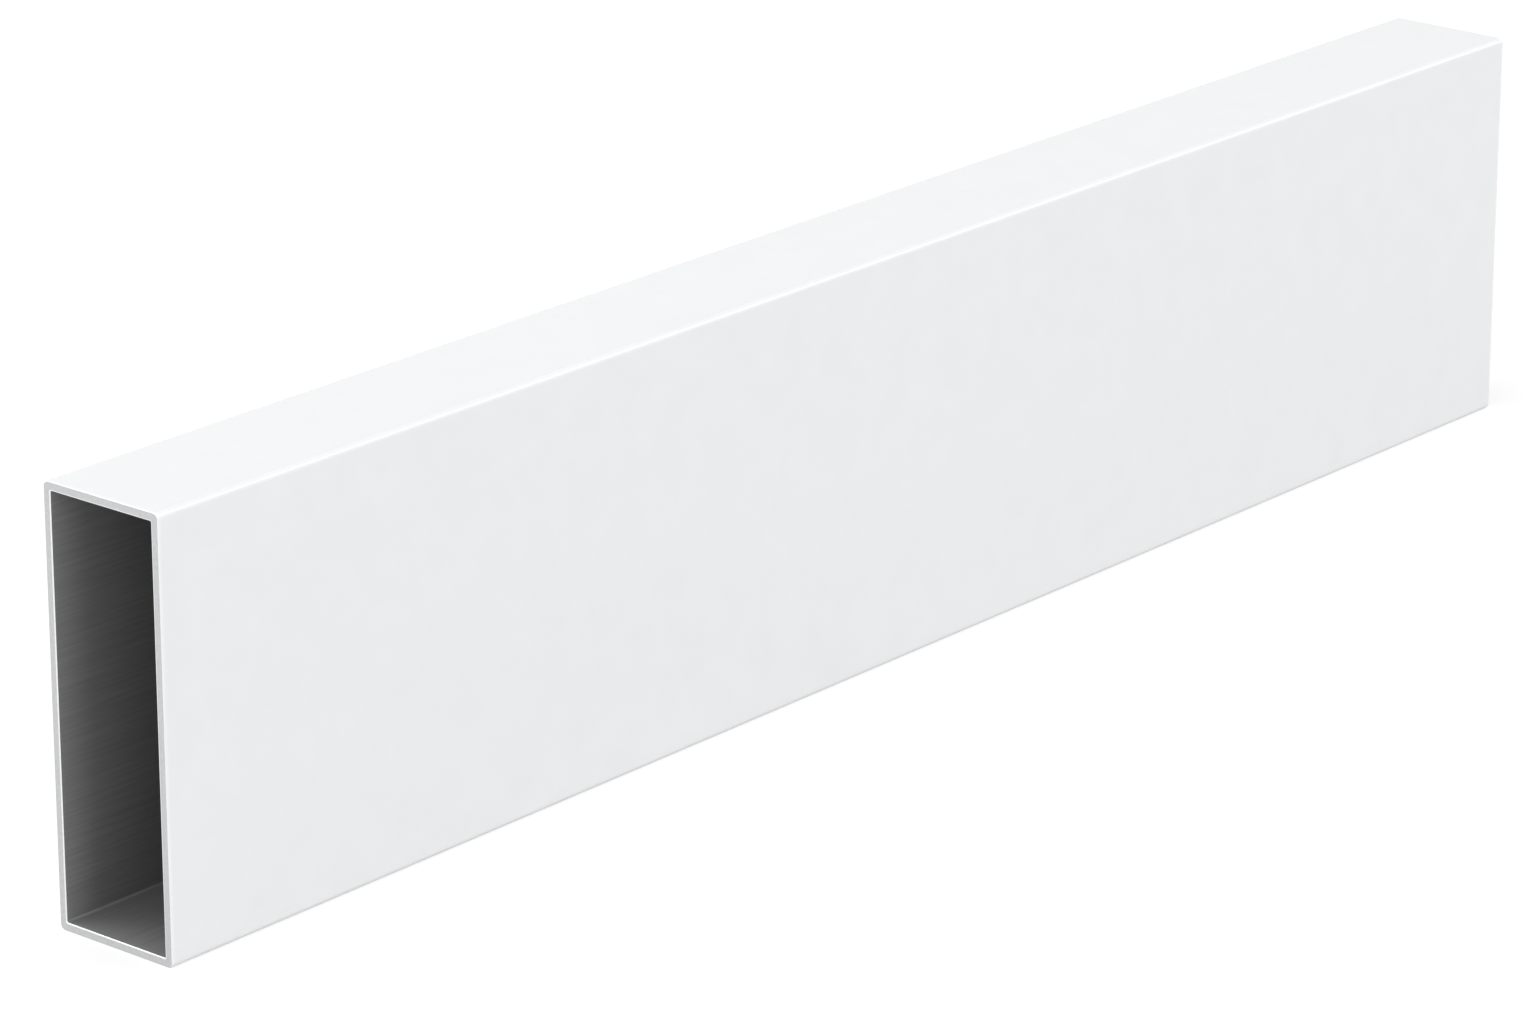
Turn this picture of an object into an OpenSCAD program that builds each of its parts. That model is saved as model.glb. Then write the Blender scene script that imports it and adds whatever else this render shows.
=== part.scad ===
// Pergola purlin: a rectangular hollow aluminium extrusion, sawn square at both
// ends and standing on its narrow edge. All sizes are in millimetres.
// X runs along the purlin, Y across its width and Z up. The origin is on the
// floor, under the middle of the bottom edge.

/* [Section] */
// Height of the section, standing on edge
section_height = 150; // [100:1:220]
// Width of the section
section_width = 50; // [40:1:100]
// Thickness of all four walls
wall = 3; // [2:0.1:5]
// Radius of the four outside corners
outer_radius = 2; // [1:0.1:4]
// Radius of the four inside corners
inner_radius = 0.5; // [0.2:0.1:3]

/* [Length] */
// Length from one sawn end to the other
purlin_length = 725; // [200:5:6000]

/* [Sawn ends] */
// Width of the broken edge round the outside of each sawn end
outer_break = 0.3; // [0.1:0.1:0.8]
// Width of the broken edge round the mouth of the hollow
inner_break = 0.2; // [0.1:0.1:0.8]

/* [Hidden] */

$fn = 64;
powder_white = "#EEF0F0";

half_length = purlin_length / 2;
hollow_width = section_width - 2 * wall;
hollow_height = section_height - 2 * wall;

// A lengthwise outline is a list of stations [x, growth]: at x the section is
// larger all round by growth. The outside draws in to each sawn end by its
// broken edge.
outside_stations = [
    [-half_length, -outer_break],
    [-half_length + outer_break, 0],
    [half_length - outer_break, 0],
    [half_length, -outer_break]
];

// The hollow flares at each mouth, and its flare runs on as far again past the
// sawn end, so that it cuts the end cleanly.
hollow_stations = [
    [-half_length - inner_break, 2 * inner_break],
    [-half_length + inner_break, 0],
    [half_length - inner_break, 0],
    [half_length + inner_break, 2 * inner_break]
];

// Both edges of a slab whose half breadth follows the stations
function slab_outline(half_breadth, stations) = concat(
    [for (s = stations) [s[0], half_breadth + s[1]]],
    [for (i = [len(stations) - 1 : -1 : 0]) [stations[i][0], -half_breadth - stations[i][1]]]
);

// Half outline of a rounded corner, to be turned about the corner's own axis
function corner_outline(radius, stations) = concat(
    [[0, stations[0][0]]],
    [for (s = stations) [radius + s[1], s[0]]],
    [[0, stations[len(stations) - 1][0]]]
);

// Bar along X with a rounded rectangular section that follows the stations
module rounded_bar(width, height, radius, stations) {
    flat_width = width - 2 * radius;
    flat_height = height - 2 * radius;

    // Full width, between the corners
    linear_extrude(height = flat_height, center = true)
        polygon(slab_outline(width / 2, stations));

    // Full height, between the corners
    rotate([90, 0, 0])
        linear_extrude(height = flat_width, center = true)
            polygon(slab_outline(height / 2, stations));

    // A quarter round at each corner, turned about an axis along X
    for (flip_y = [0, 1], flip_z = [0, 1])
        mirror([0, flip_y, 0])
            mirror([0, 0, flip_z])
                translate([0, flat_width / 2, flat_height / 2])
                    rotate([90, 0, 90])
                        rotate_extrude(angle = 90)
                            polygon(corner_outline(radius, stations));
}

module purlin_tube() {
    color(powder_white)
        translate([0, 0, section_height / 2])
            difference() {
                rounded_bar(section_width, section_height, outer_radius, outside_stations);
                rounded_bar(hollow_width, hollow_height, inner_radius, hollow_stations);
            }
}

purlin_tube();
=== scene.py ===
"""Pergola purlin: a white powder-coated length of rectangular aluminium tube on a pale studio floor.

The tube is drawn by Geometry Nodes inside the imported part's own box. It has three finishes: the coat
outside, the bare metal of the sawn ends and the mill finish of the hollow.
"""

import math
from collections import namedtuple

import bpy
from mathutils import Matrix, Vector


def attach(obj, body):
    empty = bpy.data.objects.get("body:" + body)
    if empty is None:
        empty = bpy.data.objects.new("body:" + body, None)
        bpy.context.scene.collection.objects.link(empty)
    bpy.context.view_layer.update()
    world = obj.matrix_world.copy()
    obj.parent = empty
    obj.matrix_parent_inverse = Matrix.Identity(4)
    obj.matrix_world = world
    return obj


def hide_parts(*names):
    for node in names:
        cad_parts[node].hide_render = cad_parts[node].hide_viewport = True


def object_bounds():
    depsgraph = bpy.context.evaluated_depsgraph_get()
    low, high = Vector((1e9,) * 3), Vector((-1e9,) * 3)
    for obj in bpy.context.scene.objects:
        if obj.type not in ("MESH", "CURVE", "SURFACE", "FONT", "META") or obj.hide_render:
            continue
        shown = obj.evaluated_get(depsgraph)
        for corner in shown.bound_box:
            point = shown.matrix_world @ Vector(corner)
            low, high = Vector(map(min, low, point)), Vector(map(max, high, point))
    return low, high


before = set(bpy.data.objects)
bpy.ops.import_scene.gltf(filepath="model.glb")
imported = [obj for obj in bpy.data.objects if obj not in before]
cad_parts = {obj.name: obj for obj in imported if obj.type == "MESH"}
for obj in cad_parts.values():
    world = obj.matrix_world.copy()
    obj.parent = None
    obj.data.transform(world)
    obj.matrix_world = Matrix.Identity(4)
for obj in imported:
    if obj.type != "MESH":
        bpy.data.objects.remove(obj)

bl_info = {
    "name": "Pergola Purlin",
    "version": (1, 0, 0),
    "blender": (4, 5, 0),
    "location": "View3D > Sidebar > Purlin",
    "description": "Draws a powder-coated aluminium purlin with sawn ends, and a studio to show it in",
    "category": "Add Mesh",
}

TUBE_NODE = "purlin_tube"
MM = 0.001
QUARTER_TURN = math.pi / 2

CAD_LOW, CAD_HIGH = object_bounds()
CAD_SIZE = CAD_HIGH - CAD_LOW

# Attributes of the tube's mesh: a face's band, how far across the wall a point is from the hollow to the
# outside, and whether it is on a rounded corner
BAND = "band"
ACROSS_WALL = "across_wall"
ROUND_CORNER = "round_corner"

# A lengthwise section through the wall has eight corners. These are the bands of faces that follow them,
# in order. Each has its finish and its share of the bake map, where it is a strip of its own. The thin
# bands get more than their size, so that their lines stay sharp.
Band = namedtuple("Band", "finish map_share")
BANDS = {
    "near mouth break": Band("Sawn", 0.01),
    "near sawn end": Band("Sawn", 0.03),
    "near coat edge": Band("Coat", 0.01),
    "outside": Band("Coat", 0.62),
    "far coat edge": Band("Coat", 0.01),
    "far sawn end": Band("Sawn", 0.03),
    "far mouth break": Band("Sawn", 0.01),
    "hollow": Band("Mill", 0.24),
}

# UV map that the finishes are baked through, the gap between two of its strips, and a rounded corner's
# share of the way round the section on it
BAKE_MAP = "OFBake"
STRIP_GAP = 0.005
CORNER_SHARE = 0.012

# Most of a noise's values lie between these
NOISE_SPREAD = {"From Min": 0.3, "From Max": 0.7}

# Softboxes round the purlin. Angles are in degrees: turn 0 is straight in front, and rise 0 is level.
Softbox = namedtuple("Softbox", "turn rise distance long_side short_side")
SOFTBOXES = {
    "key": Softbox(turn=-5, rise=9, distance=8.0, long_side=4.5, short_side=3.0),
    "edge": Softbox(turn=52, rise=31, distance=6.0, long_side=3.6, short_side=0.5),
    "side": Softbox(turn=-80, rise=15, distance=4.0, long_side=2.0, short_side=1.4),
    "back": Softbox(turn=165, rise=5, distance=6.0, long_side=3.0, short_side=0.9),
    "over": Softbox(turn=215, rise=50, distance=2.5, long_side=1.8, short_side=0.8),
}

# Half the side of the square floor
FLOOR_REACH = 30.0


def linear(hex_colour):
    """Turn an sRGB hex colour into linear red, green and blue."""
    channels = [int(hex_colour[i:i + 2], 16) / 255 for i in (1, 3, 5)]
    return [c / 12.92 if c <= 0.04045 else ((c + 0.055) / 1.055) ** 2.4 for c in channels]


def add_node(tree, kind, inputs=None, **settings):
    """Add a node with its settings. Each input is a value, or another node's output to link to it."""
    node = tree.nodes.new(kind)
    for name, value in settings.items():
        setattr(node, name, value)
    for key, value in (inputs or {}).items():
        if isinstance(value, bpy.types.NodeSocket):
            tree.links.new(value, node.inputs[key])
        else:
            node.inputs[key].default_value = value
    return node


def direction(turn, rise):
    """Way out from the purlin to something that stands round it: turn 0 is straight in front."""
    return Vector((math.sin(turn) * math.cos(rise), -math.cos(turn) * math.cos(rise), math.sin(rise)))


class PurlinSizes(bpy.types.PropertyGroup):
    """Sizes of the extruded section and its sawn ends."""

    length: bpy.props.FloatProperty(
        name="Length", description="From one sawn end to the other",
        default=CAD_SIZE.x, min=0.2, unit="LENGTH", subtype="DISTANCE",
    )
    width: bpy.props.FloatProperty(
        name="Width", description="Width of the section",
        default=CAD_SIZE.y, min=0.04, unit="LENGTH", subtype="DISTANCE",
    )
    height: bpy.props.FloatProperty(
        name="Height", description="Height of the section, standing on edge",
        default=CAD_SIZE.z, min=0.1, unit="LENGTH", subtype="DISTANCE",
    )
    wall: bpy.props.FloatProperty(
        name="Wall", description="Thickness of all four walls",
        default=3 * MM, min=2 * MM, unit="LENGTH", subtype="DISTANCE",
    )
    outer_radius: bpy.props.FloatProperty(
        name="Outside Radius", description="Radius of the four outside corners",
        default=2.0 * MM, min=1 * MM, unit="LENGTH", subtype="DISTANCE",
    )
    inner_radius: bpy.props.FloatProperty(
        name="Inside Radius", description="Radius of the four inside corners",
        default=0.5 * MM, min=0.2 * MM, unit="LENGTH", subtype="DISTANCE",
    )
    outer_break: bpy.props.FloatProperty(
        name="Outer Break", description="Broken edge round the outside of a sawn end",
        default=0.3 * MM, min=0.1 * MM, unit="LENGTH", subtype="DISTANCE",
    )
    inner_break: bpy.props.FloatProperty(
        name="Inner Break", description="Broken edge round the mouth of the hollow",
        default=0.2 * MM, min=0.1 * MM, unit="LENGTH", subtype="DISTANCE",
    )
    hold: bpy.props.FloatProperty(
        name="Hold", description="Strip beside each rounded corner that keeps the flats shaded flat",
        default=0.2 * MM, min=0.05 * MM, unit="LENGTH", subtype="DISTANCE",
    )
    arc_steps: bpy.props.IntProperty(
        name="Arc Steps", description="Facets in each rounded corner", default=10, min=2, max=32,
    )


class PurlinColours(bpy.types.PropertyGroup):
    """Colours of the three finishes and of the studio floor."""

    coat: bpy.props.FloatVectorProperty(
        name="Powder Coat", description="White of the baked coat",
        default=linear("#F0F1F2"), min=0, max=1, subtype="COLOR",
    )
    sawn: bpy.props.FloatVectorProperty(
        name="Sawn Metal", description="Fresh aluminium on the sawn ends",
        default=linear("#C5C6C7"), min=0, max=1, subtype="COLOR",
    )
    mill: bpy.props.FloatVectorProperty(
        name="Mill Finish", description="Dull aluminium inside the hollow",
        default=linear("#9D9D9D"), min=0, max=1, subtype="COLOR",
    )
    floor: bpy.props.FloatVectorProperty(
        name="Floor", description="Pale paper under the purlin",
        default=linear("#AAAAAA"), min=0, max=1, subtype="COLOR",
    )


class PurlinStudio(bpy.types.PropertyGroup):
    """Where the camera stands and how strong the studio light is."""

    azimuth: bpy.props.FloatProperty(
        name="Azimuth", description="Camera's turn round the purlin, from straight in front",
        default=math.radians(-49.77), unit="ROTATION", subtype="ANGLE",
    )
    elevation: bpy.props.FloatProperty(
        name="Elevation", description="Camera's height above the horizon",
        default=math.radians(19.31), unit="ROTATION", subtype="ANGLE",
    )
    distance: bpy.props.FloatProperty(
        name="Distance", description="From the camera to the point it looks at",
        default=2.230, min=0.1, unit="LENGTH", subtype="DISTANCE",
    )
    lens: bpy.props.FloatProperty(
        name="Lens", description="Focal length on a sensor 36 mm wide",
        default=149.2, min=10, unit="CAMERA",
    )
    aim_right: bpy.props.FloatProperty(
        name="Aim Right", description="How far right of the purlin's middle the camera looks",
        default=-30.0 * MM, unit="LENGTH", subtype="DISTANCE",
    )
    aim_up: bpy.props.FloatProperty(
        name="Aim Up", description="How far above the purlin's middle, in the picture, the camera looks",
        default=-25.4 * MM, unit="LENGTH", subtype="DISTANCE",
    )
    sky: bpy.props.FloatProperty(
        name="Sky", description="Strength of the even light from all round", default=0.62, min=0,
    )
    key_power: bpy.props.FloatProperty(
        name="Key Power", description="Watts of the large softbox in front, a little to the left",
        default=216.0, min=0, unit="POWER",
    )
    edge_power: bpy.props.FloatProperty(
        name="Edge Power", description="Watts of the strip softbox on the right that lights the top edge",
        default=68.0, min=0, unit="POWER",
    )
    side_power: bpy.props.FloatProperty(
        name="Side Power", description="Watts of the softbox off the near end that lights its edges",
        default=38.0, min=0, unit="POWER",
    )
    back_power: bpy.props.FloatProperty(
        name="Back Power", description="Watts of the low softbox behind that fills the far side",
        default=80.0, min=0, unit="POWER",
    )
    over_power: bpy.props.FloatProperty(
        name="Over Power", description="Watts of the softbox high behind that lights the top",
        default=15.5, min=0, unit="POWER",
    )


def start_material(name):
    """Make a material. It comes with its node tree, its shader and a point's place on the piece."""
    material = bpy.data.materials.new(name)
    material.use_nodes = True
    tree = material.node_tree
    place = add_node(tree, "ShaderNodeTexCoord").outputs["Object"]
    return material, tree, tree.nodes["Principled BSDF"], place


def from_sawn_end(tree, place):
    """How far a point is from the nearer sawn end."""
    along = add_node(tree, "ShaderNodeSeparateXYZ", {"Vector": place}).outputs["X"]
    off_middle = add_node(tree, "ShaderNodeMath", {0: along}, operation="ABSOLUTE").outputs[0]
    half_length = CAD_SIZE.x / 2
    return add_node(
        tree, "ShaderNodeMath", {0: half_length, 1: off_middle}, operation="SUBTRACT",
    ).outputs[0]


def tint(tree, shader, colour, changes):
    """Give a shader its colour, made paler or darker by each of the changes."""
    for change in changes:
        colour = add_node(
            tree, "ShaderNodeVectorMath", {0: colour, "Scale": change.outputs["Result"]},
            operation="SCALE",
        ).outputs["Vector"]
    tree.links.new(colour, shader.inputs["Base Color"])


def powder_coat(colour):
    """Polyester powder coat, sprayed and baked: a satin white with a faint orange peel."""
    peel_spacing, peel_height = 2.2 * MM, 0.006 * MM
    cloud_spacing = 60 * MM
    glossier, duller = 0.22, 0.26
    film_spacing = 14 * MM
    thin_film, full_film = 0.989, 1.007
    # Where the painted highlight beside the cut starts and fades out, and how much whiter it makes the
    # coat
    highlight_start, highlight_end = 0.6 * MM, 1.4 * MM
    highlight_gain = 1.07

    material, tree, shader, place = start_material("powder_coat_sprayed_and_baked")

    # The coat flows a little as it bakes, which leaves low rounded bumps
    peel = add_node(
        tree, "ShaderNodeTexNoise", {"Vector": place, "Scale": 1 / peel_spacing, "Detail": 1.0},
    )
    bump = add_node(tree, "ShaderNodeBump", {"Height": peel.outputs["Fac"], "Distance": peel_height})
    tree.links.new(bump.outputs["Normal"], shader.inputs["Normal"])

    # The film is not quite even, so its sheen drifts along the purlin
    cloud = add_node(
        tree, "ShaderNodeTexNoise", {"Vector": place, "Scale": 1 / cloud_spacing, "Detail": 2.0},
    )
    sheen = add_node(
        tree, "ShaderNodeMapRange",
        {"Value": cloud.outputs["Fac"], **NOISE_SPREAD, "To Min": glossier, "To Max": duller},
    )
    tree.links.new(sheen.outputs["Result"], shader.inputs["Roughness"])

    # Where the film is thinner, a little less white covers the metal
    film = add_node(
        tree, "ShaderNodeTexNoise", {"Vector": place, "Scale": 1 / film_spacing, "Detail": 3.0},
    )
    cover = add_node(
        tree, "ShaderNodeMapRange",
        {"Value": film.outputs["Fac"], **NOISE_SPREAD, "To Min": thin_film, "To Max": full_film},
    )

    # Painted highlight: a thin band of the coat beside the cut is made whiter, standing in for light
    # caught on the edge
    edge_highlight = add_node(
        tree, "ShaderNodeMapRange",
        {
            "Value": from_sawn_end(tree, place), "From Min": highlight_start, "From Max": highlight_end,
            "To Min": highlight_gain, "To Max": 1.0,
        },
    )
    tint(tree, shader, colour, (cover, edge_highlight))
    shader.inputs["IOR"].default_value = 1.5
    return material


def sawn_aluminium(colour, face_width):
    """Aluminium cut by a fine circular saw: pale bare metal with close arcs from the teeth."""
    # The teeth leave marks about 0.2 mm apart. They are drawn coarser than that so that they show.
    tooth_spacing, tooth_height = 0.8 * MM, 0.01 * MM
    arc_centre = (0, 160 * MM, 300 * MM)
    grain_spacing = 1.4 * MM
    dark_grain, pale_grain = 0.94, 1.04
    # Where each painted line ends and where its fade ends: the painted highlight from the mouth and the
    # painted shade from the coat
    mouth_highlight_line, mouth_highlight_fade, mouth_highlight_gain = 0.175 * MM, 0.3 * MM, 1.5
    coat_shade_line, coat_shade_fade, coat_shade_level = 0.125 * MM, 0.3 * MM, 0.9

    material, tree, shader, place = start_material("aluminium_sawn")

    # The tooth marks follow the distance from the arcs' centre
    reach = add_node(tree, "ShaderNodeVectorMath", {0: place, 1: arc_centre}, operation="DISTANCE")
    marks = add_node(
        tree, "ShaderNodeTexNoise",
        {"W": reach.outputs["Value"], "Scale": 1 / tooth_spacing, "Detail": 2.0}, noise_dimensions="1D",
    )
    bump = add_node(tree, "ShaderNodeBump", {"Height": marks.outputs["Fac"], "Distance": tooth_height})
    tree.links.new(bump.outputs["Normal"], shader.inputs["Normal"])

    # Cut metal is mottled where teeth smeared it
    grain = add_node(
        tree, "ShaderNodeTexNoise", {"Vector": place, "Scale": 1 / grain_spacing, "Detail": 3.0},
    )
    mottle = add_node(
        tree, "ShaderNodeMapRange",
        {"Value": grain.outputs["Fac"], **NOISE_SPREAD, "To Min": dark_grain, "To Max": pale_grain},
    )

    # Painted highlight: a thin line round the mouth is made paler, standing in for light caught on its
    # broken edge
    across = add_node(tree, "ShaderNodeAttribute", attribute_name=ACROSS_WALL).outputs["Fac"]
    mouth = add_node(
        tree, "ShaderNodeMapRange",
        {
            "Value": across,
            "From Min": mouth_highlight_line / face_width, "From Max": mouth_highlight_fade / face_width,
            "To Min": mouth_highlight_gain, "To Max": 1.0,
        },
    )
    # Painted shade: a thin line of the cut beside the coat is made darker
    coat_shade = add_node(
        tree, "ShaderNodeMapRange",
        {
            "Value": across,
            "From Min": 1 - coat_shade_fade / face_width, "From Max": 1 - coat_shade_line / face_width,
            "To Min": 1.0, "To Max": coat_shade_level,
        },
    )
    tint(tree, shader, colour, (mottle, mouth, coat_shade))
    shader.inputs["Metallic"].default_value = 1.0
    shader.inputs["Roughness"].default_value = 0.45
    return material


def mill_finish(colour):
    """Aluminium as it leaves the die: dull grey with fine lines along it, painted highlights in the inside
    corners and painted shade deep in the hollow.
    """
    # Real die lines are finer than this. They are drawn coarser so that they show.
    line_spacing, line_length, line_height = 0.7 * MM, 30 * MM, 0.007 * MM
    dark_line, pale_line = 0.93, 1.06
    # How much paler the painted highlight makes the inside corners
    corner_highlight_gain = 1.4
    # How far in from each end the painted shade reaches, and its level at the mouth and deep inside
    shade_reach = 70 * MM
    at_mouth, deep_inside = 1.12, 0.72

    material, tree, shader, place = start_material("aluminium_mill_finish")

    # Noise that is stretched along X and fine across it
    drawn = add_node(
        tree, "ShaderNodeMapping",
        {"Vector": place, "Scale": (1 / line_length, 1 / line_spacing, 1 / line_spacing)},
    )
    lines = add_node(
        tree, "ShaderNodeTexNoise", {"Vector": drawn.outputs["Vector"], "Scale": 1.0, "Detail": 3.0},
    )
    bump = add_node(tree, "ShaderNodeBump", {"Height": lines.outputs["Fac"], "Distance": line_height})
    tree.links.new(bump.outputs["Normal"], shader.inputs["Normal"])
    streak = add_node(
        tree, "ShaderNodeMapRange",
        {"Value": lines.outputs["Fac"], **NOISE_SPREAD, "To Min": dark_line, "To Max": pale_line},
    )

    # Painted highlight: the rounded inside corners are made paler, standing in for light caught on them
    corner = add_node(tree, "ShaderNodeAttribute", attribute_name=ROUND_CORNER)
    corner_highlight = add_node(
        tree, "ShaderNodeMapRange",
        {"Value": corner.outputs["Fac"], "To Min": 1.0, "To Max": corner_highlight_gain},
    )

    # Painted shade: the metal is made darker deeper in the hollow and paler near the open ends, standing
    # in for the light that falls off inside
    powder = add_node(
        tree, "ShaderNodeMapRange",
        {
            "Value": from_sawn_end(tree, place), "From Min": 0.0, "From Max": shade_reach,
            "To Min": at_mouth, "To Max": deep_inside,
        },
    )
    tint(tree, shader, colour, (streak, corner_highlight, powder))
    shader.inputs["Metallic"].default_value = 1.0
    shader.inputs["Roughness"].default_value = 0.75
    return material


def seen_rays(tree):
    """1 for a ray that the camera, a reflection or glass sees with, and 0 for one that only lights."""
    path = add_node(tree, "ShaderNodeLightPath")
    seen = path.outputs["Is Camera Ray"]
    for ray in ("Is Glossy Ray", "Is Transmission Ray"):
        seen = add_node(
            tree, "ShaderNodeMath", {0: seen, 1: path.outputs[ray]}, operation="MAXIMUM",
        ).outputs[0]
    return seen


def studio_paper(colour):
    """Seamless paper: matt and pale. The camera and reflections see it lifted to white."""
    lift = 0.68

    material = bpy.data.materials.new("studio_paper")
    material.use_nodes = True
    tree = material.node_tree
    tree.nodes.remove(tree.nodes["Principled BSDF"])
    strength = add_node(tree, "ShaderNodeMath", {0: seen_rays(tree), 1: lift}, operation="MULTIPLY")
    paper = add_node(tree, "ShaderNodeBsdfDiffuse", {"Color": (*colour, 1)})
    glow = add_node(tree, "ShaderNodeEmission", {"Strength": strength.outputs[0]})
    both = add_node(tree, "ShaderNodeAddShader", {0: paper.outputs[0], 1: glow.outputs[0]})
    tree.links.new(both.outputs[0], tree.nodes["Material Output"].inputs["Surface"])
    return material


# What the tube's nodes work out for a point: its swing about a corner of the section, and its place on the
# way round the wall, lengthwise
Swing = namedtuple("Swing", "corner_angle angle slide on_round")
WallPlace = namedtuple("WallPlace", "outside radius setback end_sign")

TUBE_INPUTS = (
    ("Length", "NodeSocketFloat"),
    ("Width", "NodeSocketFloat"),
    ("Height", "NodeSocketFloat"),
    ("Wall", "NodeSocketFloat"),
    ("Outer Radius", "NodeSocketFloat"),
    ("Inner Radius", "NodeSocketFloat"),
    ("Outer Break", "NodeSocketFloat"),
    ("Inner Break", "NodeSocketFloat"),
    ("Hold", "NodeSocketFloat"),
    ("Arc Steps", "NodeSocketInt"),
    ("Coat", "NodeSocketMaterial"),
    ("Sawn", "NodeSocketMaterial"),
    ("Mill", "NodeSocketMaterial"),
)


def section_swing(tree, size, corner, step):
    """Swing a column round its corner of the section. Its first and last steps are on the flats."""
    last_arc = add_node(tree, "ShaderNodeMath", {0: size["Arc Steps"], 1: 1}, operation="ADD").outputs[0]
    part = add_node(
        tree, "ShaderNodeMapRange",
        {"Value": step, "From Min": 1.0, "From Max": last_arc, "To Min": 0.0, "To Max": 1.0},
    ).outputs["Result"]
    quarters = add_node(tree, "ShaderNodeMath", {0: corner, 1: part}, operation="ADD").outputs[0]
    angles = []
    for turns in (corner, quarters):
        angle = add_node(tree, "ShaderNodeMath", {0: turns, 1: QUARTER_TURN}, operation="MULTIPLY")
        angles.append(angle.outputs[0])

    # A column on a flat slides along it, back from the corner or on from it
    before = add_node(tree, "ShaderNodeMath", {0: step, 1: 0.5}, operation="LESS_THAN").outputs[0]
    after = add_node(tree, "ShaderNodeMath", {0: step, 1: last_arc}, operation="GREATER_THAN").outputs[0]
    way = add_node(tree, "ShaderNodeMath", {0: after, 1: before}, operation="SUBTRACT").outputs[0]
    slide = add_node(tree, "ShaderNodeMath", {0: way, 1: size["Hold"]}, operation="MULTIPLY").outputs[0]
    on_flat = add_node(tree, "ShaderNodeMath", {0: before, 1: after}, operation="MAXIMUM").outputs[0]
    on_round = add_node(tree, "ShaderNodeMath", {0: 1.0, 1: on_flat}, operation="SUBTRACT").outputs[0]
    return Swing(*angles, slide, on_round)


def wall_levels(tree, row):
    """Count a row from the nearer end, because the two ends mirror each other.

    Levels 0 and 1 are the hollow's, 2 and 3 the outside's. The end's sign is -1 for the near end.
    """
    last_row = len(BANDS) - 1
    from_far = add_node(tree, "ShaderNodeMath", {0: last_row, 1: row}, operation="SUBTRACT").outputs[0]
    level = add_node(tree, "ShaderNodeMath", {0: row, 1: from_far}, operation="MINIMUM").outputs[0]
    at_far = add_node(tree, "ShaderNodeMath", {0: row, 1: from_far}, operation="GREATER_THAN").outputs[0]
    end_sign = add_node(
        tree, "ShaderNodeMapRange", {"Value": at_far, "To Min": -1.0, "To Max": 1.0},
    ).outputs["Result"]
    outside = add_node(tree, "ShaderNodeMath", {0: level, 1: 1.5}, operation="GREATER_THAN").outputs[0]
    return level, end_sign, outside


def point_position(tree, size, wall, swing):
    """Work out where a point is, from its place on the wall and its swing."""
    # Half the flats of the outside and of the hollow
    section = add_node(
        tree, "ShaderNodeCombineXYZ", {"Y": size["Width"], "Z": size["Height"]},
    ).outputs[0]
    half = add_node(tree, "ShaderNodeVectorMath", {0: section, "Scale": 0.5}, operation="SCALE").outputs[0]
    flats = []
    for inset, arc in ((0.0, size["Outer Radius"]), (size["Wall"], size["Inner Radius"])):
        edge = add_node(tree, "ShaderNodeMath", {0: arc, 1: inset}, operation="ADD").outputs[0]
        edges = add_node(tree, "ShaderNodeCombineXYZ", {"Y": edge, "Z": edge}).outputs[0]
        flat = add_node(tree, "ShaderNodeVectorMath", {0: half, 1: edges}, operation="SUBTRACT")
        flats.append(flat.outputs[0])
    outer_flat, inner_flat = flats

    # A Mix node's sockets go by number, because those of its other types have the same names
    flat = add_node(
        tree, "ShaderNodeMix", {"Factor": wall.outside, 4: inner_flat, 5: outer_flat}, data_type="VECTOR",
    ).outputs[1]

    # The corner's centre, and the swing about it
    quadrant = add_node(
        tree, "ShaderNodeVectorRotate", {"Vector": (0, 1, 1), "Angle": swing.corner_angle},
        rotation_type="X_AXIS",
    ).outputs[0]
    centre = add_node(
        tree, "ShaderNodeVectorMath", {0: quadrant, 1: flat}, operation="MULTIPLY",
    ).outputs[0]
    arm = add_node(tree, "ShaderNodeCombineXYZ", {"Y": wall.radius, "Z": swing.slide}).outputs[0]
    swung = add_node(
        tree, "ShaderNodeVectorRotate", {"Vector": arm, "Angle": swing.angle}, rotation_type="X_AXIS",
    ).outputs[0]
    round_axis = add_node(tree, "ShaderNodeVectorMath", {0: centre, 1: swung}, operation="ADD").outputs[0]

    # The place along the purlin, on an axis that is half its height above the floor
    half_length = add_node(
        tree, "ShaderNodeMath", {0: size["Length"], 1: 0.5}, operation="MULTIPLY",
    ).outputs[0]
    reach = add_node(
        tree, "ShaderNodeMath", {0: half_length, 1: wall.setback}, operation="SUBTRACT",
    ).outputs[0]
    along = add_node(tree, "ShaderNodeMath", {0: reach, 1: wall.end_sign}, operation="MULTIPLY").outputs[0]
    half_height = add_node(
        tree, "ShaderNodeMath", {0: size["Height"], 1: 0.5}, operation="MULTIPLY",
    ).outputs[0]
    on_axis = add_node(tree, "ShaderNodeCombineXYZ", {"X": along, "Z": half_height}).outputs[0]
    return add_node(tree, "ShaderNodeVectorMath", {0: on_axis, 1: round_axis}, operation="ADD").outputs[0]


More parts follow.
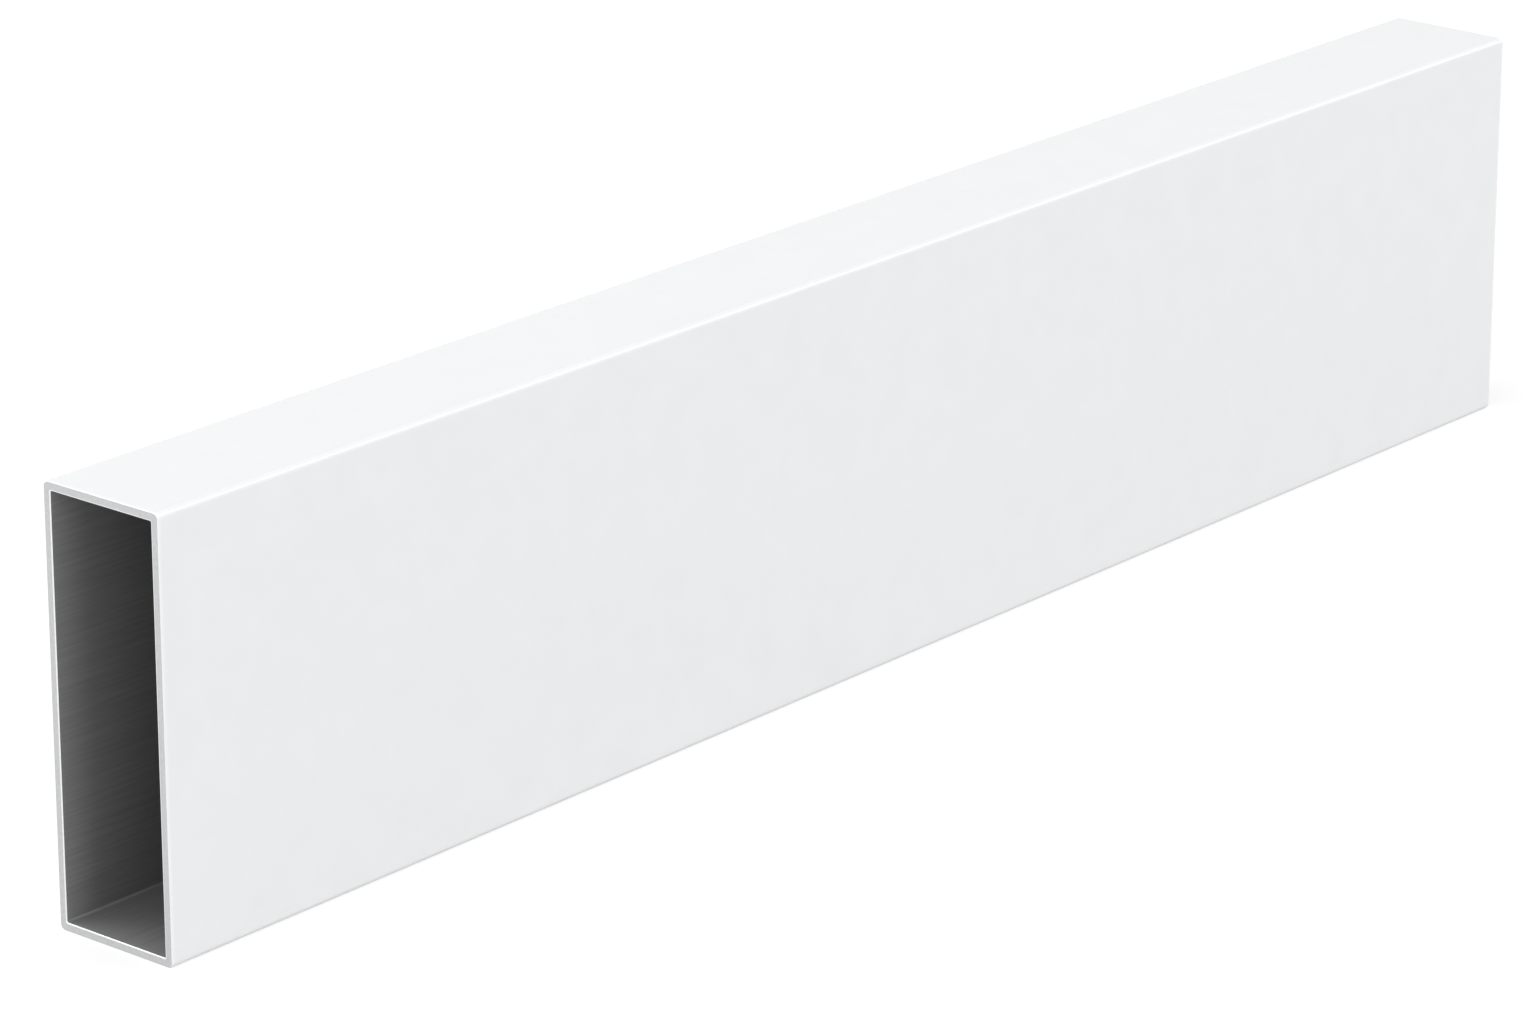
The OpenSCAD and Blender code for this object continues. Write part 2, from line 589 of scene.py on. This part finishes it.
def way_round_section(tree, size, corner, step):
    """How far round the section a point is, from 0 to 1: by the corners and flats that it has passed."""
    # Shares of a wide flat and of a tall one
    two_flats = 0.5 - 2 * CORNER_SHARE
    both = add_node(
        tree, "ShaderNodeMath", {0: size["Width"], 1: size["Height"]}, operation="ADD",
    ).outputs[0]
    widths = add_node(tree, "ShaderNodeMath", {0: size["Width"], 1: both}, operation="DIVIDE").outputs[0]
    wide = add_node(tree, "ShaderNodeMath", {0: widths, 1: two_flats}, operation="MULTIPLY").outputs[0]
    tall = add_node(tree, "ShaderNodeMath", {0: two_flats, 1: wide}, operation="SUBTRACT").outputs[0]

    # Corners, wide flats and tall flats passed
    last_step = add_node(tree, "ShaderNodeMath", {0: size["Arc Steps"], 1: 2}, operation="ADD").outputs[0]
    part = add_node(tree, "ShaderNodeMath", {0: step, 1: last_step}, operation="DIVIDE").outputs[0]
    corners = add_node(tree, "ShaderNodeMath", {0: corner, 1: part}, operation="ADD").outputs[0]
    pairs = add_node(tree, "ShaderNodeMath", {0: corner, 1: 2}, operation="DIVIDE").outputs[0]
    wides = add_node(tree, "ShaderNodeMath", {0: pairs}, operation="CEIL").outputs[0]
    talls = add_node(tree, "ShaderNodeMath", {0: pairs}, operation="FLOOR").outputs[0]
    passed = add_node(
        tree, "ShaderNodeMath", {0: corners, 1: CORNER_SHARE}, operation="MULTIPLY",
    ).outputs[0]
    for count, share in ((wides, wide), (talls, tall)):
        passed = add_node(
            tree, "ShaderNodeMath", {0: count, 1: share, 2: passed}, operation="MULTIPLY_ADD",
        ).outputs[0]
    return passed


def map_place(tree, way_round, grid_row, band, strip_start, strip_height):
    """Place of a face's corner on the bake map.

    The outside's length runs across the map. On the other strips the way round the section does, because
    the fine lines of the hollow and of the sawn ends need the most room that way.
    """
    on_points = []
    for value in (way_round, grid_row):
        on_point = add_node(tree, "GeometryNodeFieldOnDomain", {"Value": value}, domain="POINT")
        on_points.append(on_point.outputs[0])
    round_here, row_here = on_points
    across = add_node(tree, "ShaderNodeMath", {0: row_here, 1: band}, operation="SUBTRACT").outputs[0]
    from_end = add_node(tree, "ShaderNodeMath", {0: 1.0, 1: across}, operation="SUBTRACT").outputs[0]
    lengthwise = add_node(
        tree, "ShaderNodeMath", {0: band, 1: list(BANDS).index("outside"), 2: 0.5}, operation="COMPARE",
    ).outputs[0]
    map_x = add_node(tree, "ShaderNodeMix", {"Factor": lengthwise, 2: round_here, 3: from_end}).outputs[0]
    up_strip = add_node(tree, "ShaderNodeMix", {"Factor": lengthwise, 2: across, 3: round_here}).outputs[0]
    map_y = add_node(
        tree, "ShaderNodeMath", {0: up_strip, 1: strip_height, 2: strip_start}, operation="MULTIPLY_ADD",
    ).outputs[0]
    return add_node(tree, "ShaderNodeCombineXYZ", {"X": map_x, "Y": map_y}).outputs[0]


def with_finishes(tree, size, band, tube):
    """Coat the whole tube, then bare the sawn ends and the hollow."""
    tube = add_node(
        tree, "GeometryNodeSetMaterial", {"Geometry": tube, "Material": size["Coat"]},
    ).outputs[0]
    for number, kind in enumerate(BANDS.values()):
        if kind.finish == "Coat":
            continue
        chosen = add_node(
            tree, "FunctionNodeCompare", {2: band, 3: number}, data_type="INT", operation="EQUAL",
        ).outputs[0]
        tube = add_node(
            tree, "GeometryNodeSetMaterial",
            {"Geometry": tube, "Selection": chosen, "Material": size[kind.finish]},
        ).outputs[0]
    return tube


def tube_tree():
    """Build the node tree that draws the tube.

    A grid is wrapped twice. Its rows go round the wall lengthwise, through the eight corners that bound
    BANDS, and its columns go round the section. Each column belongs to one corner of the section: it
    swings round that corner, and the first and last columns of a corner also slide along the flat beside
    it. The last column comes back to the first corner.
    """
    merge_distance = 0.001 * MM
    crisp_angle = math.radians(30)

    tree = bpy.data.node_groups.new("purlin_tube", "GeometryNodeTree")
    for name, kind in TUBE_INPUTS:
        tree.interface.new_socket(name=name, in_out="INPUT", socket_type=kind)
    tree.interface.new_socket(name="Tube", in_out="OUTPUT", socket_type="NodeSocketGeometry")
    size = add_node(tree, "NodeGroupInput").outputs
    row_count = len(BANDS)

    # A corner's columns are the ends of its facets and one on each flat
    corner_columns = add_node(
        tree, "ShaderNodeMath", {0: size["Arc Steps"], 1: 3}, operation="ADD",
    ).outputs[0]
    grid_columns = add_node(
        tree, "ShaderNodeMath", {0: corner_columns, 1: 4, 2: 1}, operation="MULTIPLY_ADD",
    ).outputs[0]
    grid = add_node(
        tree, "GeometryNodeMeshGrid", {"Vertices X": grid_columns, "Vertices Y": row_count + 1},
    ).outputs["Mesh"]

    # Which row, corner and step of the corner a point belongs to
    index = add_node(tree, "GeometryNodeInputIndex").outputs[0]
    grid_row = add_node(
        tree, "ShaderNodeMath", {0: index, 1: row_count + 1}, operation="MODULO",
    ).outputs[0]
    row = add_node(tree, "ShaderNodeMath", {0: grid_row, 1: row_count}, operation="MODULO").outputs[0]
    columns = add_node(
        tree, "ShaderNodeMath", {0: index, 1: row_count + 1}, operation="DIVIDE",
    ).outputs[0]
    column = add_node(tree, "ShaderNodeMath", {0: columns}, operation="FLOOR").outputs[0]
    corners = add_node(
        tree, "ShaderNodeMath", {0: column, 1: corner_columns}, operation="DIVIDE",
    ).outputs[0]
    corner = add_node(tree, "ShaderNodeMath", {0: corners}, operation="FLOOR").outputs[0]
    step = add_node(tree, "ShaderNodeMath", {0: column, 1: corner_columns}, operation="MODULO").outputs[0]
    swing = section_swing(tree, size, corner, step)
    level, end_sign, outside = wall_levels(tree, row)
    band = add_node(
        tree, "GeometryNodeInputNamedAttribute", {"Name": BAND}, data_type="INT",
    ).outputs["Attribute"]

    # Radius and setback from the sawn end at each level, and the start and height of each band's strip
    flared = add_node(
        tree, "ShaderNodeMath", {0: size["Inner Radius"], 1: size["Inner Break"]}, operation="ADD",
    ).outputs[0]
    drawn_in = add_node(
        tree, "ShaderNodeMath", {0: size["Outer Radius"], 1: size["Outer Break"]}, operation="SUBTRACT",
    ).outputs[0]
    heights = [kind.map_share for kind in BANDS.values()]
    starts = [sum(heights[:number]) + STRIP_GAP * number for number in range(row_count)]
    picked = []
    for number, values in (
        (level, (size["Inner Radius"], flared, drawn_in, size["Outer Radius"])),
        (level, (size["Inner Break"], 0.0, 0.0, size["Outer Break"])),
        (band, starts),
        (band, heights),
    ):
        switch = add_node(tree, "GeometryNodeIndexSwitch", {"Index": number}, data_type="FLOAT")
        while len(switch.index_switch_items) < len(values):
            switch.index_switch_items.new()
        for socket, value in zip(list(switch.inputs)[1:], values):
            if isinstance(value, bpy.types.NodeSocket):
                tree.links.new(value, socket)
            else:
                socket.default_value = value
        picked.append(switch.outputs[0])
    radius, setback, strip_start, strip_height = picked

    # Shape the grid, and leave on it what the materials, the bake and the last nodes read
    position = point_position(tree, size, WallPlace(outside, radius, setback, end_sign), swing)
    tube = add_node(tree, "GeometryNodeSetPosition", {"Geometry": grid, "Position": position}).outputs[0]
    face_row = add_node(tree, "ShaderNodeMath", {0: index, 1: row_count}, operation="MODULO").outputs[0]
    way_round = way_round_section(tree, size, corner, step)
    on_map = map_place(tree, way_round, grid_row, band, strip_start, strip_height)
    for name, value, data_type, domain in (
        (ACROSS_WALL, outside, "FLOAT", "POINT"),
        (ROUND_CORNER, swing.on_round, "FLOAT", "POINT"),
        (BAND, face_row, "INT", "FACE"),
        (BAKE_MAP, on_map, "FLOAT2", "CORNER"),
    ):
        tube = add_node(
            tree, "GeometryNodeStoreNamedAttribute",
            {"Geometry": tube, "Name": name, "Value": value}, data_type=data_type, domain=domain,
        ).outputs[0]

    # Close both wraps, and keep the broken edges crisp
    closed = add_node(
        tree, "GeometryNodeMergeByDistance", {"Geometry": tube, "Distance": merge_distance},
    ).outputs[0]
    smooth = add_node(tree, "GeometryNodeSetShadeSmooth", {"Geometry": closed}).outputs[0]
    fold = add_node(tree, "GeometryNodeInputMeshEdgeAngle").outputs["Unsigned Angle"]
    crisp = add_node(
        tree, "ShaderNodeMath", {0: fold, 1: crisp_angle}, operation="GREATER_THAN",
    ).outputs[0]
    shaded = add_node(
        tree, "GeometryNodeSetShadeSmooth",
        {"Geometry": smooth, "Selection": crisp, "Shade Smooth": False}, domain="EDGE",
    ).outputs[0]
    real = add_node(tree, "GeometryNodeRealizeInstances", {"Geometry": shaded}).outputs[0]
    add_node(tree, "NodeGroupOutput", {"Tube": with_finishes(tree, size, band, real)})
    return tree


class PURLIN_OT_tube(bpy.types.Operator):
    """Draw the purlin's tube with its three finishes"""

    bl_idname = "purlin.tube"
    bl_label = "Purlin Tube"

    def execute(self, context):
        sizes, colours = context.scene.purlin_sizes, context.scene.purlin_colours
        face_width = sizes.wall - sizes.outer_break - sizes.inner_break
        values = {
            "Length": sizes.length,
            "Width": sizes.width,
            "Height": sizes.height,
            "Wall": sizes.wall,
            "Outer Radius": sizes.outer_radius,
            "Inner Radius": sizes.inner_radius,
            "Outer Break": sizes.outer_break,
            "Inner Break": sizes.inner_break,
            "Hold": sizes.hold,
            "Arc Steps": sizes.arc_steps,
            "Coat": powder_coat(colours.coat),
            "Sawn": sawn_aluminium(colours.sawn, face_width),
            "Mill": mill_finish(colours.mill),
        }
        tube = bpy.data.objects.new("tube", bpy.data.meshes.new("tube"))
        context.collection.objects.link(tube)
        nodes = tube.modifiers.new("purlin_tube", "NODES")
        nodes.node_group = tube_tree()
        for item in nodes.node_group.interface.items_tree:
            if item.in_out == "INPUT":
                nodes[item.identifier] = values[item.name]
        solid = bpy.data.meshes.new_from_object(tube.evaluated_get(context.evaluated_depsgraph_get()))
        tube.modifiers.remove(nodes)
        tube.data = solid
        if not solid.polygons:
            raise RuntimeError("the tube came out empty")
        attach(tube, "root")
        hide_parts(TUBE_NODE)
        return {"FINISHED"}


def lay_floor(context):
    """Lay the paper floor under the purlin."""
    reach = FLOOR_REACH
    mesh = bpy.data.meshes.new("floor")
    corners = [(-reach, -reach, 0), (reach, -reach, 0), (reach, reach, 0), (-reach, reach, 0)]
    mesh.from_pydata(corners, [], [(0, 1, 2, 3)])
    mesh.materials.append(studio_paper(context.scene.purlin_colours.floor))
    floor = bpy.data.objects.new("floor", mesh)
    floor.location.z = CAD_LOW.z
    context.collection.objects.link(floor)


def light_sky(context):
    """Light the purlin evenly from all round, with a sky that the camera and reflections see as white."""
    world = bpy.data.worlds.new("studio")
    world.use_nodes = True
    context.scene.world = world
    tree = world.node_tree
    dim = context.scene.purlin_studio.sky
    strength = add_node(
        tree, "ShaderNodeMapRange", {"Value": seen_rays(tree), "To Min": dim, "To Max": 1.0},
    )
    sky = tree.nodes["Background"]
    sky.inputs["Color"].default_value = (1, 1, 1, 1)
    tree.links.new(strength.outputs["Result"], sky.inputs["Strength"])


def hang_softboxes(context, middle):
    """Hang the softboxes round the purlin, each with its long side parallel to it."""
    for name, place in SOFTBOXES.items():
        lamp = bpy.data.lights.new(name, "AREA")
        lamp.shape = "RECTANGLE"
        lamp.size = place.long_side
        lamp.size_y = place.short_side
        lamp.energy = getattr(context.scene.purlin_studio, f"{name}_power")
        softbox = bpy.data.objects.new(name, lamp)
        way = direction(math.radians(place.turn), math.radians(place.rise))
        along = (Vector((1, 0, 0)) - way * way.x).normalized()
        softbox.location = middle + way * place.distance
        softbox.rotation_euler = Matrix((along, way.cross(along), way)).transposed().to_euler()
        softbox.visible_camera = False
        context.collection.objects.link(softbox)


def stand_camera(context, middle):
    """Stand the camera before the purlin and point it a little off the middle."""
    studio = context.scene.purlin_studio
    back = direction(studio.azimuth, studio.elevation)
    right = Vector((math.cos(studio.azimuth), math.sin(studio.azimuth), 0))
    up = back.cross(right)
    aim = middle + right * studio.aim_right + up * studio.aim_up
    camera = bpy.data.cameras.new("camera")
    camera.lens = studio.lens
    viewer = bpy.data.objects.new("camera", camera)
    viewer.location = aim + back * studio.distance
    viewer.rotation_euler = back.to_track_quat("Z", "Y").to_euler()
    context.collection.objects.link(viewer)
    context.scene.camera = viewer


class PURLIN_OT_stage(bpy.types.Operator):
    """Make the floor, the soft light and the camera"""

    bl_idname = "purlin.stage"
    bl_label = "Studio"

    def execute(self, context):
        context.scene.view_settings.view_transform = "Standard"
        middle = (CAD_LOW + CAD_HIGH) / 2
        lay_floor(context)
        light_sky(context)
        hang_softboxes(context, middle)
        stand_camera(context, middle)
        return {"FINISHED"}


class PURLIN_PT_panel(bpy.types.Panel):
    """Sizes, colours and buttons of the purlin"""

    bl_idname = "PURLIN_PT_panel"
    bl_label = "Pergola Purlin"
    bl_space_type = "VIEW_3D"
    bl_region_type = "UI"
    bl_category = "Purlin"

    def draw(self, context):
        scene = context.scene
        for group in (scene.purlin_sizes, scene.purlin_colours, scene.purlin_studio):
            box = self.layout.box()
            for name in group.__annotations__:
                box.prop(group, name)
        for operator in (PURLIN_OT_tube, PURLIN_OT_stage):
            self.layout.operator(operator.bl_idname)


CLASSES = (PurlinSizes, PurlinColours, PurlinStudio, PURLIN_OT_tube, PURLIN_OT_stage, PURLIN_PT_panel)


def register():
    """Register the classes and give each scene its settings."""
    for cls in CLASSES:
        bpy.utils.register_class(cls)
    bpy.types.Scene.purlin_sizes = bpy.props.PointerProperty(type=PurlinSizes)
    bpy.types.Scene.purlin_colours = bpy.props.PointerProperty(type=PurlinColours)
    bpy.types.Scene.purlin_studio = bpy.props.PointerProperty(type=PurlinStudio)


def unregister():
    """Take the settings and the classes away again."""
    del bpy.types.Scene.purlin_studio
    del bpy.types.Scene.purlin_colours
    del bpy.types.Scene.purlin_sizes
    for cls in reversed(CLASSES):
        bpy.utils.unregister_class(cls)


def main():
    register()
    bpy.ops.purlin.tube()
    bpy.ops.purlin.stage()


if __name__ == "__main__":
    main()
